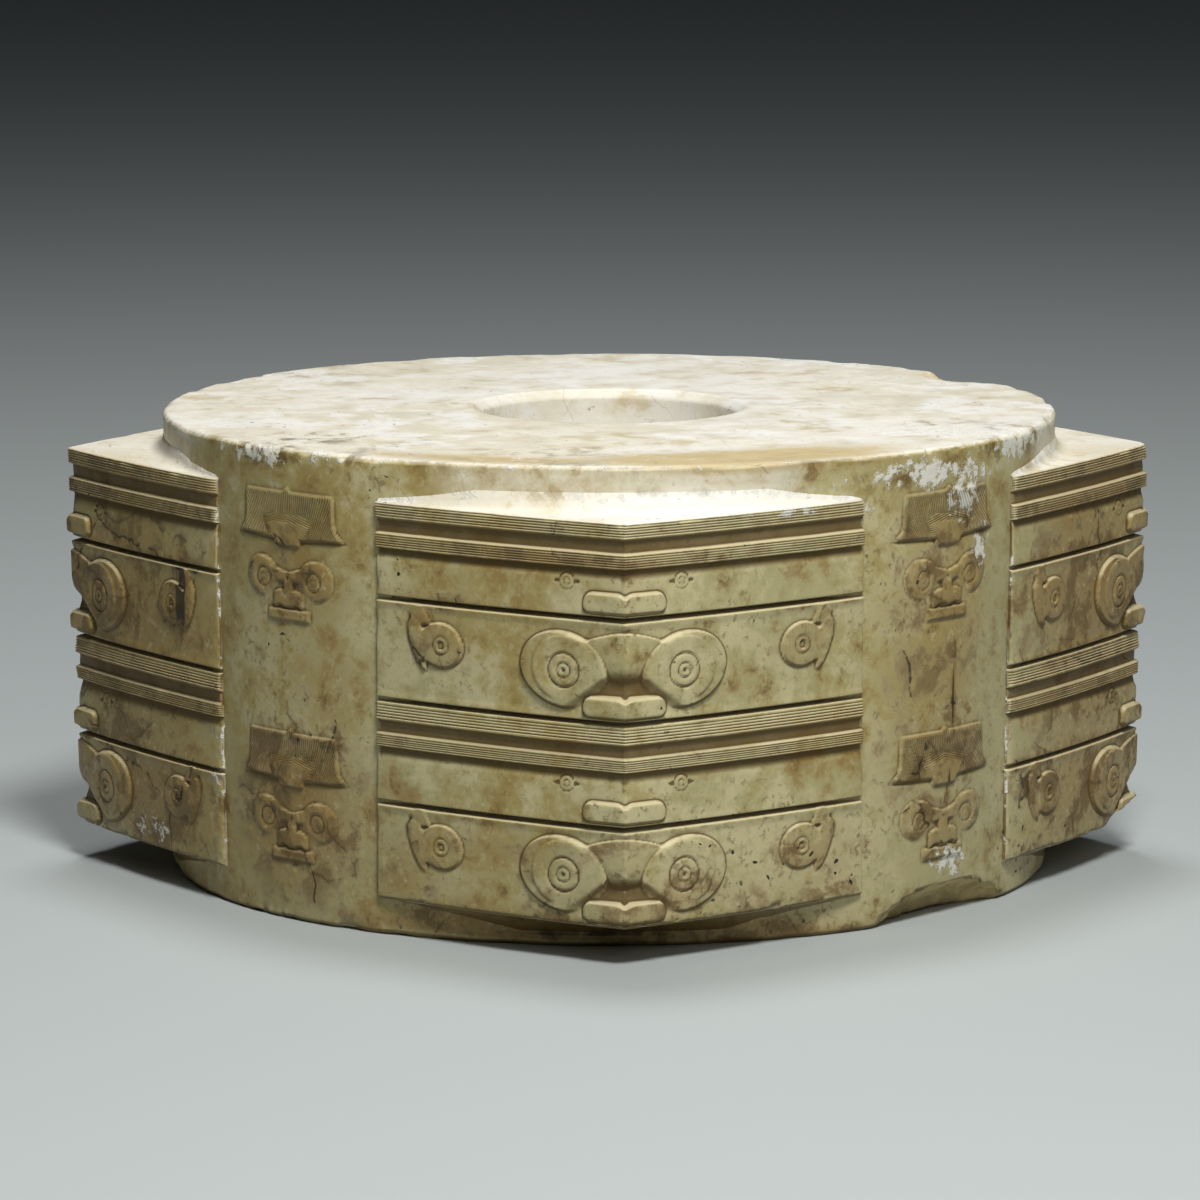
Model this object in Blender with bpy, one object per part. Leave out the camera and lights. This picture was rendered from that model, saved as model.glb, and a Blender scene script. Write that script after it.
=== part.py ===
"""A jade cong: a squared tube of nephrite round a drilled bore, with masks carved round its four corners.

Metres, +Z up. The origin is the middle of the foot. The corners point along -Y, +X, +Y and -X, and a bare
upright panel lies between each two of them. It is one piece of stone, so it is one solid.
"""
import math
from collections import namedtuple

import bmesh
import bpy
import numpy as np
from mathutils import Matrix

MM = 0.001

# Whole piece
HEIGHT = 89.0 * MM
TOP_RADIUS = 86.75 * MM
FOOT_RADIUS = 85.7 * MM
COLLAR_EDGE = 1.1 * MM
CORNER_RADIUS_TOP = 105.7 * MM
CORNER_RADIUS_FOOT = 103.7 * MM
TURNED_SIDES = 56

# Bore, drilled from both ends to a ridge half way
BORE_RADIUS = 25.0 * MM
BORE_WAIST = 19.0 * MM
BORE_MOUTH_EDGE = 1.6 * MM
RIDGE_HEIGHT = 5.0 * MM

# Corner blocks
TOP_COLLAR = 7.8 * MM
BLOCK_HALF_WIDTH = 44.2 * MM
BLOCK_STAND = 1.25 * MM
FACE_BOW = 1.0 * MM

# Two registers of carving, from the top down
Register = namedtuple("Register", "first_band gap second_band mask beast")
UPPER = Register(2.95 * MM, 2.75 * MM, 2.7 * MM, 9.3 * MM, 19.0 * MM)
LOWER = Register(3.7 * MM, 2.6 * MM, 2.4 * MM, 10.5 * MM, 18.4 * MM)
STRINGS = 3
STRING_DEPTH = 0.3 * MM
GAP_DEPTH = 0.45 * MM
FIELD_DEPTH = 0.35 * MM
STEP_RUN = 0.15 * MM
GROOVE_WIDTH = 1.3 * MM
GROOVE_DEPTH = 1.0 * MM

# Relief on the corner faces: places are measured from the corner's edge and from the foot of each tier
NOSE_HALF_WIDTH = 8.6 * MM
NOSE_HEIGHT = 3.7 * MM
NOSE_LIFT = 1.1 * MM
NOSE_STAND = 0.95 * MM
MASK_EYE_FROM_EDGE = 12.2 * MM
MASK_EYE_DROP = 2.8 * MM
MASK_EYE_RADIUS = 1.55 * MM
MASK_EYE_STAND = 0.55 * MM
BEAST_EYE_FROM_EDGE = 12.9 * MM
BEAST_EYE_LIFT = 9.4 * MM
BEAST_LID_LONG = 8.9 * MM
BEAST_LID_SHORT = 6.8 * MM
BEAST_LID_TILT = 10.0
BEAST_LID_STAND = 0.55 * MM
BEAST_RING_RADIUS = 3.2 * MM
BEAST_RING_STAND = 0.85 * MM
FOREHEAD_HALF_WIDTH = 8.2 * MM
FOREHEAD_NECK = 3.6 * MM
FOREHEAD_LIFT = 8.9 * MM
FOREHEAD_HEIGHT = 7.8 * MM
FOREHEAD_STAND = 0.8 * MM
BIRD_FROM_EDGE = 39.3 * MM
BIRD_LIFT = 11.4 * MM
BIRD_LONG = 4.9 * MM
BIRD_SHORT = 4.1 * MM
BIRD_STAND = 0.5 * MM
WING_LENGTH = 10.0 * MM
WING_WIDTH = 2.6 * MM

# Emblem on the panels, one above the other: places are measured from its top and from the panel's middle line
EMBLEM_TOP = 81.0 * MM
EMBLEM_PITCH = 45.4 * MM
EMBLEM_STAND = 0.6 * MM
CROWN_HALF_WIDTH = 11.6 * MM
CROWN_FLARE = 14.2 * MM
CROWN_HEIGHT = 9.0 * MM
CROWN_PEAK = 1.0 * MM
FACE_HALF_WIDTH = 5.0 * MM
FACE_STAND = 0.95 * MM
EMBLEM_EYE_DROP = 16.3 * MM
EMBLEM_EYE_SPREAD = 7.0 * MM
EMBLEM_LID_LONG = 4.4 * MM
EMBLEM_LID_SHORT = 3.7 * MM
EMBLEM_RING_RADIUS = 1.5 * MM
SNOUT_HALF_WIDTH = 3.6 * MM
SNOUT_DROP = 14.5 * MM
SNOUT_HEIGHT = 6.7 * MM
MOUTH_HALF_WIDTH = 5.4 * MM
MOUTH_DROP = 21.9 * MM
MOUTH_HEIGHT = 2.3 * MM

# Old breaks and wear
RIM_BREAK_ANGLE = 31.5
RIM_BREAK_HALF_LENGTH = 13.0 * MM
RIM_BREAK_HEIGHT = 3.0 * MM
RIM_BREAK_DEPTH = 8.5 * MM
FOOT_BREAK_ANGLE = -44.0
FOOT_BREAK_HALF_LENGTH = 23.0 * MM
FOOT_BREAK_HEIGHT = 6.8 * MM
FOOT_BREAK_DEPTH = 6.0 * MM
CORNER_WEAR_HALF_LENGTH = 22.0 * MM
CORNER_WEAR_HEIGHT = 4.4 * MM
CORNER_WEAR_DEPTH = 11.0 * MM

ROOT = 1.2 * MM
CORNERS = 4
EYE_SIDES = 7
LID_SIDES = 8

BLOCK_TOP = HEIGHT - TOP_COLLAR
LOWER_TOP = BLOCK_TOP - sum(UPPER)
BLOCK_FOOT = LOWER_TOP - sum(LOWER)

JADE = (0.42, 0.36, 0.20, 1.0)


def clear_scene():
    for thing in list(bpy.data.objects):
        bpy.data.objects.remove(thing, do_unlink=True)


def jade_material():
    """Polished olive nephrite."""
    material = bpy.data.materials.new("jade")
    material.use_nodes = True
    shader = material.node_tree.nodes["Principled BSDF"]
    shader.inputs["Base Color"].default_value = JADE
    shader.inputs["Roughness"].default_value = 0.38
    shader.inputs["Metallic"].default_value = 0.0
    return material


def solid(name, parts):
    """One object from closed bodies, each a pair of point and face lists, with every face pointing out."""
    mesh = bpy.data.meshes.new(name)
    shape = bmesh.new()
    for points, faces in parts:
        corners = [shape.verts.new(point) for point in points]
        for face in faces:
            shape.faces.new([corners[i] for i in face])
    bmesh.ops.recalc_face_normals(shape, faces=shape.faces)
    bmesh.ops.triangulate(shape, faces=shape.faces)
    shape.to_mesh(mesh)
    shape.free()
    thing = bpy.data.objects.new(name, mesh)
    bpy.context.collection.objects.link(thing)
    return thing


def combine(target, tool, operation):
    """Join the tool to the target, or cut it away, and keep the result as the target's own mesh."""
    tool.hide_render = True
    tool.display_type = "WIRE"
    step = target.modifiers.new(operation.lower(), "BOOLEAN")
    step.operation = operation
    step.solver = "EXACT"
    step.object = tool
    result = target.evaluated_get(bpy.context.evaluated_depsgraph_get())
    mesh = bpy.data.meshes.new_from_object(result)
    target.modifiers.remove(step)
    target.data = mesh
    bpy.data.objects.remove(tool, do_unlink=True)


def loft(rings, closed=False):
    """A closed body through rings of points: round in a loop when closed, or else capped at both ends."""
    count = len(rings[0])
    points = [point for ring in rings for point in ring]
    faces = []
    for i in range(len(rings) if closed else len(rings) - 1):
        a = i * count
        b = (i + 1) % len(rings) * count
        for j in range(count):
            k = (j + 1) % count
            faces.append((a + j, a + k, b + k, b + j))
    if not closed:
        faces.append(tuple(range(count)))
        faces.append(tuple(range((len(rings) - 1) * count, len(rings) * count)))
    return points, faces


def tube_radius(z):
    """Radius of the round tube, which is both collars and the four panels."""
    return FOOT_RADIUS + (TOP_RADIUS - FOOT_RADIUS) * z / HEIGHT


def corner_radius(z):
    return CORNER_RADIUS_FOOT + (CORNER_RADIUS_TOP - CORNER_RADIUS_FOOT) * z / HEIGHT


def tube():
    """The turned tube: collars and panels outside, and the bore narrowing from each mouth to its ridge."""
    half = HEIGHT / 2
    edge = COLLAR_EDGE
    mouth = BORE_RADIUS + BORE_MOUTH_EDGE
    profile = [
        (mouth, 0.0),
        (FOOT_RADIUS - edge, 0.0),
        (tube_radius(edge), edge),
        (tube_radius(HEIGHT - edge), HEIGHT - edge),
        (TOP_RADIUS - edge, HEIGHT),
        (mouth, HEIGHT),
        (BORE_RADIUS, HEIGHT - BORE_MOUTH_EDGE),
        (BORE_WAIST + 0.35 * (BORE_RADIUS - BORE_WAIST), half + RIDGE_HEIGHT),
        (BORE_WAIST, half),
        (BORE_WAIST + 0.35 * (BORE_RADIUS - BORE_WAIST), half - RIDGE_HEIGHT),
        (BORE_RADIUS, BORE_MOUTH_EDGE),
    ]
    rings = []
    for i in range(TURNED_SIDES):
        turn = 2 * math.pi * (i + 0.5) / TURNED_SIDES
        rings.append([(r * math.cos(turn), r * math.sin(turn), z) for r, z in profile])
    return loft(rings, closed=True)


def face_ends(z, inset):
    """Plan points of one half face, in the corner's own frame: its corner edge, its far end and its outward normal."""
    radius = tube_radius(z)
    foot = np.array([math.sqrt(radius ** 2 - BLOCK_HALF_WIDTH ** 2), BLOCK_HALF_WIDTH])
    out = np.array([1.0, 1.0]) / math.sqrt(2)
    end = foot + BLOCK_STAND * out
    edge = np.array([corner_radius(z), 0.0])
    along = (end - edge) / np.linalg.norm(end - edge)
    normal = np.array([along[1], -along[0]])
    return edge - np.array([inset / normal[0], 0.0]), end - out * inset / normal.dot(out), normal


def block_outline(z, inset):
    """Plan of a corner block at one height, cut back by an inset: two slightly bowed faces and a root in the tube."""
    edge, end, normal = face_ends(z, inset)
    middle = (edge + end) / 2 + normal * FACE_BOW
    root = face_ends(z, 0.0)[1] - np.array([14 * ROOT, 10 * ROOT])
    half = [edge, middle, end, root]
    other = [point * (1, -1) for point in half[:0:-1]]
    return [(x, y, z) for x, y in half + other]


def block_levels():
    """Heights and insets up a corner block: string bands, sunk gaps, carved fields and the deep grooves."""
    levels = [(BLOCK_FOOT, FIELD_DEPTH)]
    tops = (LOWER_TOP, BLOCK_TOP)
    for register, top in zip((LOWER, UPPER), tops):
        foot = top - sum(register)
        if foot > BLOCK_FOOT:
            levels += groove(foot, FIELD_DEPTH)
        beast_top = foot + register.beast
        levels += groove(beast_top, FIELD_DEPTH)
        mask_top = beast_top + register.mask
        levels.append((mask_top - STEP_RUN, FIELD_DEPTH))
        levels += strings(mask_top, register.second_band)
        gap_foot = mask_top + register.second_band
        levels.append((gap_foot + STEP_RUN, GAP_DEPTH))
        levels.append((gap_foot + register.gap - STEP_RUN, GAP_DEPTH))
        clear = 0.0 if top == BLOCK_TOP else GROOVE_WIDTH / 2
        levels += strings(gap_foot + register.gap, register.first_band - clear)
    return levels


def groove(z, ground):
    """A deep groove with sloping sides, centred on one height."""
    half = GROOVE_WIDTH / 2
    return [(z - half, ground), (z - half / 2, GROOVE_DEPTH), (z + half / 2, GROOVE_DEPTH), (z + half, ground)]


def strings(foot, height):
    """A band of fine parallel strings with a notch between each two."""
    pitch = height / STRINGS
    levels = [(foot, 0.0)]
    for i in range(STRINGS):
        if i:
            levels.append((foot + i * pitch, STRING_DEPTH))
        levels.append((foot + (i + 0.5) * pitch, 0.0))
    levels.append((foot + height, 0.0))
    return levels


def on_face(s, z, out):
    """A point at a distance s from the corner's edge along a face, standing out of the carved field.

    The sign of s picks the face, and the field bows by a parabola between its two ends.
    """
    edge, end, normal = face_ends(z, FIELD_DEPTH)
    length = np.linalg.norm(end - edge)
    share = min(abs(s) / length, 1.0)
    along = (end - edge) / length
    bow = FACE_BOW * 4 * share * (1 - share)
    if s == 0:
        x, y = edge + np.array([out / normal[0], 0.0])
    else:
        x, y = edge + along * abs(s) + normal * (bow + out)
    return (x, math.copysign(y, s) if s else 0.0, z)


def on_panel(u, z, out):
    """A point at an arc u from a panel's middle line, standing out of the tube."""
    radius = tube_radius(z)
    turn = math.pi / CORNERS + u / radius
    return ((radius + out) * math.cos(turn), (radius + out) * math.sin(turn), z)


def oval(middle, long, short, tilt=0.0, sides=EYE_SIDES):
    """Points round an ellipse whose long axis is turned up by the tilt."""
    lean = math.radians(tilt)
    points = []
    for i in range(sides):
        turn = 2 * math.pi * i / sides
        a = long * math.cos(turn)
        b = short * math.sin(turn)
        across = a * math.cos(lean) - b * math.sin(lean)
        up = a * math.sin(lean) + b * math.cos(lean)
        points.append((middle[0] + across, middle[1] + up))
    return points


def raised(place, middle, outline, steps):
    """A terraced body: the outline drawn in towards its middle by each step's share, at each step's height."""
    rings = []
    for share, out in [(1.0, -ROOT)] + steps:
        ring = []
        for across, up in outline:
            ring.append(place(middle[0] + share * (across - middle[0]), middle[1] + share * (up - middle[1]), out))
        rings.append(ring)
    return loft(rings)


def flip(outline):
    """The same outline on the other face of a corner, or the other half of a panel."""
    return [(-across, up) for across, up in outline]


def wrapped(columns, stand):
    """A raised bar round the corner's edge, through columns of (distance from the edge, foot, top)."""
    points = []
    for s, low, high in columns:
        points += [on_face(s, low, -ROOT), on_face(s, high, -ROOT), on_face(s, high, stand), on_face(s, low, stand)]
    faces = [(0, 1, 2, 3)]
    last = 4 * (len(columns) - 1)
    for a in range(0, last, 4):
        for j in range(4):
            k = (j + 1) % 4
            faces.append((a + j, a + k, a + 4 + k, a + 4 + j))
    faces.append(tuple(range(last, last + 4)))
    return points, faces


def nose_bar(foot):
    """The short bar that stands for a nose, bent round the corner's edge."""
    low = foot + NOSE_LIFT
    return wrapped([(k * NOSE_HALF_WIDTH, low, low + NOSE_HEIGHT) for k in (-1.0, 0.0, 1.0)], NOSE_STAND)


def forehead(foot):
    """The plate between the beast's eyes: an arched top that narrows down to a neck."""
    low = foot + FOREHEAD_LIFT
    high = low + FOREHEAD_HEIGHT
    shape = [(-1.0, 0.66, 0.76), (-FOREHEAD_NECK / FOREHEAD_HALF_WIDTH, 0.05, 0.93), (0.0, 0.0, 1.0),
             (FOREHEAD_NECK / FOREHEAD_HALF_WIDTH, 0.05, 0.93), (1.0, 0.66, 0.76)]
    columns = [(k * FOREHEAD_HALF_WIDTH, low + a * (high - low), low + b * (high - low)) for k, a, b in shape]
    return wrapped(columns, FOREHEAD_STAND)


def mask_eye(tier_top, side):
    """A small ring eye of the masked figure."""
    middle = (side * MASK_EYE_FROM_EDGE, tier_top - MASK_EYE_DROP)
    outline = oval(middle, MASK_EYE_RADIUS, MASK_EYE_RADIUS)
    return raised(on_face, middle, outline, [(0.9, MASK_EYE_STAND)])


def beast_eye(foot, side):
    """A beast's eye: a large oval lid with a round eyeball standing on it."""
    middle = (BEAST_EYE_FROM_EDGE, foot + BEAST_EYE_LIFT)
    outline = oval(middle, BEAST_LID_LONG, BEAST_LID_SHORT, BEAST_LID_TILT, LID_SIDES)
    if side < 0:
        outline = flip(outline)
        middle = (-middle[0], middle[1])
    ring = BEAST_RING_RADIUS / BEAST_LID_SHORT
    steps = [(0.95, BEAST_LID_STAND), (ring * 1.12, BEAST_LID_STAND), (ring * 0.88, BEAST_RING_STAND)]
    return raised(on_face, middle, outline, steps)


def bird(foot, side):
    """A bird beside the beast's face: an egg-shaped body, and a leaf-like wing along its far side."""
    middle = (BIRD_FROM_EDGE, foot + BIRD_LIFT)
    body = oval(middle, BIRD_LONG, BIRD_SHORT)
    left = middle[0] + BIRD_LONG + 0.3 * MM
    top = middle[1] + 0.45 * WING_LENGTH
    low = middle[1] - 0.55 * WING_LENGTH
    wing = [(left, top), (left + 0.5 * WING_WIDTH, top), (left + 0.45 * WING_WIDTH, middle[1]),
            (left - 0.9 * WING_WIDTH, low), (left - 0.05 * WING_WIDTH, middle[1])]
    hub = (left + 0.2 * WING_WIDTH, middle[1] + 0.1 * WING_LENGTH)
    if side < 0:
        body, wing = flip(body), flip(wing)
        middle, hub = (-middle[0], middle[1]), (-hub[0], hub[1])
    yield raised(on_face, middle, body, [(0.93, BIRD_STAND)])
    yield raised(on_face, hub, wing, [(1.0, BIRD_STAND)])


def corner_relief():
    """Every raised part of one corner, in both registers."""
    parts = []
    for register, top in ((UPPER, BLOCK_TOP), (LOWER, LOWER_TOP)):
        foot = top - sum(register)
        mask_foot = foot + register.beast
        parts.append(nose_bar(mask_foot))
        parts.append(nose_bar(foot))
        parts.append(forehead(foot))
        for side in (-1, 1):
            parts.append(mask_eye(mask_foot + register.mask, side))
            parts.append(beast_eye(foot, side))
            parts.extend(bird(foot, side))
    return parts


def emblem(top):
    """A crowned figure over a beast's eyes and mouth, in low relief on a panel."""
    crown_foot = top - CROWN_HEIGHT
    waist = crown_foot + 0.3 * CROWN_HEIGHT
    half = [(FACE_HALF_WIDTH, crown_foot), (CROWN_FLARE, crown_foot + 0.06 * CROWN_HEIGHT),
            (CROWN_HALF_WIDTH, waist), (CROWN_HALF_WIDTH, top)]
    crown = half + [(0.0, top + CROWN_PEAK)] + flip(half)[::-1]
    hub = (0.0, waist)
    face = [(-FACE_HALF_WIDTH, waist), (-0.5 * FACE_HALF_WIDTH, crown_foot - 0.1 * CROWN_HEIGHT),
            (0.5 * FACE_HALF_WIDTH, crown_foot - 0.1 * CROWN_HEIGHT), (FACE_HALF_WIDTH, waist)]
    parts = [(hub, crown, [(1.0, EMBLEM_STAND)]), ((0.0, crown_foot), face, [(1.0, FACE_STAND)])]
    eye_height = top - EMBLEM_EYE_DROP
    for side in (-1, 1):
        middle = (side * EMBLEM_EYE_SPREAD, eye_height)
        lid = oval((EMBLEM_EYE_SPREAD, eye_height), EMBLEM_LID_LONG, EMBLEM_LID_SHORT, BEAST_LID_TILT)
        ring = EMBLEM_RING_RADIUS / EMBLEM_LID_SHORT
        steps = [(1.0, EMBLEM_STAND), (ring, FACE_STAND)]
        parts.append((middle, lid if side > 0 else flip(lid), steps))
    snout_top = top - SNOUT_DROP
    snout = [(-0.6 * SNOUT_HALF_WIDTH, snout_top), (-SNOUT_HALF_WIDTH, snout_top - SNOUT_HEIGHT),
             (SNOUT_HALF_WIDTH, snout_top - SNOUT_HEIGHT), (0.6 * SNOUT_HALF_WIDTH, snout_top)]
    parts.append(((0.0, snout_top - SNOUT_HEIGHT / 2), snout, [(1.0, EMBLEM_STAND)]))
    mouth_top = top - MOUTH_DROP
    mouth = [(-MOUTH_HALF_WIDTH, mouth_top), (-0.8 * MOUTH_HALF_WIDTH, mouth_top - MOUTH_HEIGHT),
             (0.8 * MOUTH_HALF_WIDTH, mouth_top - MOUTH_HEIGHT), (MOUTH_HALF_WIDTH, mouth_top)]
    parts.append(((0.0, mouth_top - MOUTH_HEIGHT / 2), mouth, [(1.0, EMBLEM_STAND)]))
    return [raised(on_panel, middle, outline, steps) for middle, outline, steps in parts]


def joined(name, parts):
    """One object from bodies that may run into each other, joined one by one."""
    thing = solid(name, parts[:1])
    for part in parts[1:]:
        combine(thing, solid("part", [part]), "UNION")
    return thing


def quarter_copy(thing, quarter):
    """A copy of the object, turned about +Z by a number of quarter turns."""
    cosine = (1, 0, -1, 0)[quarter]
    sine = (0, 1, 0, -1)[quarter]
    mesh = thing.data.copy()
    mesh.transform(Matrix(((cosine, -sine, 0, 0), (sine, cosine, 0, 0), (0, 0, 1, 0), (0, 0, 0, 1))))
    twin = bpy.data.objects.new(thing.name, mesh)
    bpy.context.collection.objects.link(twin)
    return twin


def lump(angle, radius, z, across, into, up):
    """An egg-shaped body for a break: its half axes run along the rim, into the stone and upwards."""
    shape = bmesh.new()
    bmesh.ops.create_icosphere(shape, subdivisions=2, radius=1.0)
    turn = math.radians(angle)
    points = []
    for vert in shape.verts:
        x, y, h = vert.co
        rough = 1 + 0.06 * math.sin(7 * x + 3 * y) * math.cos(5 * h + 2 * x)
        r = radius + into * x * rough
        a = across * y * rough
        points.append((r * math.cos(turn) - a * math.sin(turn), r * math.sin(turn) + a * math.cos(turn),
                       z + up * h * rough))
    faces = [tuple(vert.index for vert in face.verts) for face in shape.faces]
    shape.free()
    return points, faces


def bite(angle, radius, level, half_length, height, depth):
    """A break in an edge at one level: it runs along the edge, into the stone, and up or down by its height.

    Its egg stands half out of the stone, so the mouth that it leaves is the chord at half the egg's height.
    """
    chord = math.sqrt(3) / 2
    stand = 0.4 * depth
    return lump(angle, radius + stand, level - height, half_length / chord, (depth + stand) / chord, 2 * height)


def breaks():
    """The old losses: a bite out of the top collar's back, one out of the foot, and a worn corner."""
    rim = bite(RIM_BREAK_ANGLE, TOP_RADIUS, HEIGHT, RIM_BREAK_HALF_LENGTH, -RIM_BREAK_HEIGHT, RIM_BREAK_DEPTH)
    foot = bite(FOOT_BREAK_ANGLE, FOOT_RADIUS, 0.0, FOOT_BREAK_HALF_LENGTH, FOOT_BREAK_HEIGHT, FOOT_BREAK_DEPTH)
    worn = bite(0.0, corner_radius(BLOCK_FOOT), BLOCK_FOOT, CORNER_WEAR_HALF_LENGTH, CORNER_WEAR_HEIGHT,
                CORNER_WEAR_DEPTH)
    return [rim, foot, worn]


def build():
    clear_scene()
    cong = solid("jade_cong", [tube()])
    block = loft([block_outline(z, inset) for z, inset in block_levels()])
    figures = [joined("corner", [block] + corner_relief()),
               joined("upper_emblem", emblem(EMBLEM_TOP)),
               joined("lower_emblem", emblem(EMBLEM_TOP - EMBLEM_PITCH))]
    for figure in figures:
        for quarter in range(CORNERS):
            combine(cong, quarter_copy(figure, quarter), "UNION")
        bpy.data.objects.remove(figure, do_unlink=True)
    for loss in breaks():
        combine(cong, solid("loss", [loss]), "DIFFERENCE")
    cong.data.materials.clear()
    cong.data.materials.append(jade_material())
    cong.data.shade_smooth()
    cong.data.set_sharp_from_angle(angle=math.radians(30))


build()
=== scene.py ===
"""The looks of a jade cong: its fine carving, wear and stone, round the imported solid.

The stone is one piece. Its surface is made as five closed meshes only to keep each under 200,000
triangles: the round tube with its collars and four panels, and four corner blocks that run into it.
They share one material on Object coordinates, so no seam shows.
"""

import math
from collections import namedtuple

import bpy
import numpy as np
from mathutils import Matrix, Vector


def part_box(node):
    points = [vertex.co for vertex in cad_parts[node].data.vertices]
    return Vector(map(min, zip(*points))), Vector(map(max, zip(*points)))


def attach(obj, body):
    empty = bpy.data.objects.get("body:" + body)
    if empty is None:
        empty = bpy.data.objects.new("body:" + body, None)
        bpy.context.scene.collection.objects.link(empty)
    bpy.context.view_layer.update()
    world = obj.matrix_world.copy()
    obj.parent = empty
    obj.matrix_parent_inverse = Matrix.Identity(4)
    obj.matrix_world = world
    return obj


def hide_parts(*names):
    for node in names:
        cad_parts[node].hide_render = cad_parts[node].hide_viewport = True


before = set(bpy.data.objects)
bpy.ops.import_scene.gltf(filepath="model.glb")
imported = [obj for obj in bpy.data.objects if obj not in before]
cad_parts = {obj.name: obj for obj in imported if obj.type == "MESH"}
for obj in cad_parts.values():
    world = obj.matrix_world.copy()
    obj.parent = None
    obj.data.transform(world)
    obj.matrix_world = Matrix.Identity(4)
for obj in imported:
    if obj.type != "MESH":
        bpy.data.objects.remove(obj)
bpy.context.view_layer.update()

# Sizes are in millimetres, and the mesh maker turns them into metres
MM = 0.001
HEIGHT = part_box("jade_cong")[1].z / MM

# The round tube, and the corner blocks that stand on it
TOP_RADIUS = 86.75
FOOT_RADIUS = 85.7
CORNER_RADIUS_TOP = 105.7
CORNER_RADIUS_FOOT = 103.7
COLLAR_EDGE = 1.1
BORE_RADIUS = 25.0
BORE_WAIST = 19.0
BORE_MOUTH_EDGE = 1.6
RIDGE_HEIGHT = 5.0
TOP_COLLAR = 7.8
BLOCK_HALF_WIDTH = 44.2
BLOCK_STAND = 1.25
FACE_BOW = 1.0
FACE_LENGTH = 54.4
ROOT_DEPTH = 5.0
ROOT_STEP = (3.0, 2.0)
TOP_COVE = 3.0
FOOT_COVE = 4.0
HUB_RADIUS = 60.0
COLLAR_MIDDLE = 60.0

# The two registers of carving, from the top down
Register = namedtuple("Register", "first_band gap second_band mask beast")
UPPER = Register(2.95, 2.75, 2.7, 9.3, 19.0)
LOWER = Register(3.7, 2.6, 2.4, 10.5, 18.4)
BLOCK_TOP = HEIGHT - TOP_COLLAR
LOWER_TOP = BLOCK_TOP - sum(UPPER)
BLOCK_FOOT = LOWER_TOP - sum(LOWER)

# Levels of the faces, where 0 is the crest of the strings
STRINGS = 6
STRING_DEPTH = 0.34
GAP_LEVEL = -0.75
FIELD_LEVEL = -0.4
MASK_SHADE_LEVEL = -0.95
LIP_LEVEL = -0.2
GROOVE_HALF = 0.5
GROOVE_LEVEL = -2.4
EDGE_ROUND = 0.45
FOOT_ROUND = 1.1

# Relief on the faces, measured from the corner's ridge and from the foot of each tier
NOSE_HALF_WIDTH = 8.6
NOSE_HEIGHT = 3.7
NOSE_LIFT = 1.1
NOSE_LEVEL = 0.58
MASK_EYE = (12.3, 2.8)
BEAST_EYE = (12.8, 9.4)
LID_LONG = 8.9
LID_SHORT = 6.8
LID_TILT = 10.0
LID_LEVEL = 0.42
CRESCENT_LONG = 6.6
CRESCENT_SHORT = 6.0
CRESCENT_LEVEL = 0.68
EYEBALL_RADIUS = 3.15
PUPIL_RADIUS = 0.9
FOREHEAD_HALF_WIDTH = 8.2
FOREHEAD_LIFT = 8.9
FOREHEAD_HEIGHT = 7.8
FOREHEAD_LEVEL = 0.05
BIRD = (39.1, 11.4)
BIRD_LONG = 4.75
BIRD_SHORT = 4.1
BIRD_LEVEL = 0.18

# Emblems on the panels, measured from the top of the crown and the panel's middle line
EMBLEM_TOP = 81.0
EMBLEM_PITCH = 45.4
EMBLEM_TOPS = (EMBLEM_TOP, EMBLEM_TOP - EMBLEM_PITCH)
EMBLEM_TALL = 25.0
EMBLEM_HALF_WIDTH = 15.2
EMBLEM_STAND = 0.4

# Old losses, as ellipsoids that stand half out of the stone: where, and how far they run
Loss = namedtuple("Loss", "angle radius level half_length height depth")
RIM_BREAK = Loss(31.5, TOP_RADIUS, HEIGHT, 13.0, -3.0, 8.5)
FOOT_BREAK = Loss(-44.0, FOOT_RADIUS, 0.0, 23.0, 6.8, 6.0)
CORNER_WEAR = Loss(0.0, 103.9, 6.9, 22.0, 4.4, 11.0)
LOSSES = (RIM_BREAK, FOOT_BREAK, CORNER_WEAR)

# Crusts, stains and painted shadow laid on the stone: angle in degrees, height, how far each runs, and how
# strong it is
Patch = namedtuple("Patch", "angle height across up amount")
CRUSTS = (
    Patch(-140, 87.5, 9, 2.6, 0.62), Patch(-126, 88.0, 5, 1.6, 0.5), Patch(-100, 88.6, 22, 0.9, 0.4),
    Patch(-48, 84.5, 14, 3.2, 0.6), Patch(-30, 87.0, 12, 2.8, 0.6), Patch(-42, 79.0, 3.2, 6.5, 0.64),
    Patch(-38, 70.0, 2.2, 6.0, 0.55), Patch(-58, 80.5, 3.0, 3.0, 0.4), Patch(-43, 11.0, 4.5, 4.0, 0.58),
    Patch(-71, 80.4, 9, 1.2, 0.42), Patch(-150, 22.0, 2.0, 8.0, 0.42), Patch(140, 87.5, 14, 2.0, 0.5),
    Patch(52, 84.0, 10, 4.0, 0.45), Patch(20, 14.0, 6, 5.0, 0.4), Patch(-165, 12.0, 5, 5.0, 0.4),
)
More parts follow.
